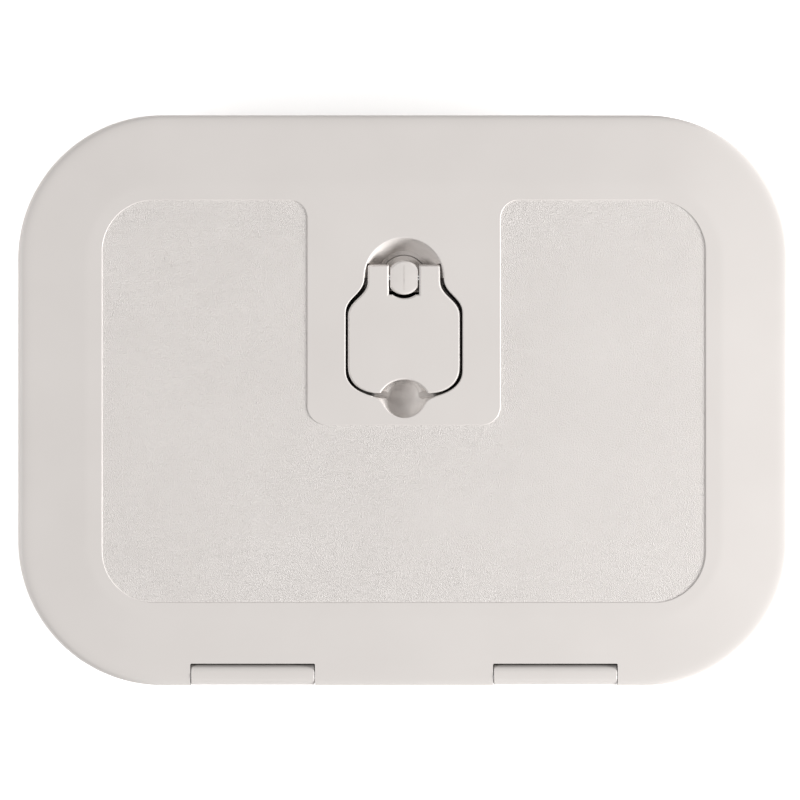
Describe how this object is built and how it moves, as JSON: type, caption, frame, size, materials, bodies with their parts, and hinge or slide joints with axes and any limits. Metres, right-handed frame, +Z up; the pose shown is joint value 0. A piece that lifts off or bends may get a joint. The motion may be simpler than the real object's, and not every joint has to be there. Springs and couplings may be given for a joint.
{
  "type": "deck hatch",
  "caption": "Rectangular flush deck hatch: flanged frame with coaming, hinged non-slip lid with folding lift-and-turn handle, tongue latch and gasket.",
  "frame": {"origin": "centre of the outline in plan, at the coaming's lower edge, 30 mm below the deck's surface", "axes": "+X along the hinge and the long side, +Y from the hinge towards the latch, +Z up, out of the deck"},
  "size_m": [0.375, 0.277, 0.048],
  "materials": {
    "moulded_plastic": "warm off-white UV-stable plastic, satin, with a fine pebble grain on the lid's non-slip panel",
    "rubber_seal": "black sealing rubber, matt",
    "stainless_steel": "stainless steel, lightly brushed",
    "acetal": "natural white acetal, smooth"
  },
  "bodies": {
    "frame": {"frame": "moulded_plastic", "hinge_knuckle_left": "moulded_plastic", "hinge_knuckle_right": "moulded_plastic", "knuckle_screw_left_outer": "stainless_steel", "knuckle_screw_left_inner": "stainless_steel", "knuckle_screw_right_inner": "stainless_steel", "knuckle_screw_right_outer": "stainless_steel", "keeper": "stainless_steel", "keeper_screw_left": "stainless_steel", "keeper_screw_right": "stainless_steel"},
    "lid": {"lid": "moulded_plastic", "lid_gasket": "rubber_seal", "hinge_pin_left": "stainless_steel", "hinge_pin_right": "stainless_steel", "pin_clip_left": "stainless_steel", "pin_clip_right": "stainless_steel", "latch_head": "moulded_plastic", "spindle_bush": "acetal", "spindle_o_ring": "rubber_seal"},
    "handle": {"handle": "moulded_plastic", "handle_pin": "stainless_steel"},
    "tongue": {"spindle_shaft": "stainless_steel", "tongue": "stainless_steel", "tongue_washer": "stainless_steel", "tongue_nut": "stainless_steel"}
  },
  "joints": [
    {"name": "lid_hinge", "type": "hinge", "parent": "frame", "child": "lid", "pos_m": [0, -0.1333, 0.0423], "axis": [1, 0, 0], "range_deg": [0, 180]},
    {"name": "handle_lift", "type": "hinge", "parent": "lid", "child": "handle", "pos_m": [0, 0.0595, 0.0443], "axis": [-1, 0, 0], "range_deg": [0, 90]},
    {"name": "tongue_turn", "type": "hinge", "parent": "lid", "child": "tongue", "pos_m": [0, 0.0595, 0.02], "axis": [0, 0, 1], "range_deg": [0, 90]}
  ]
}
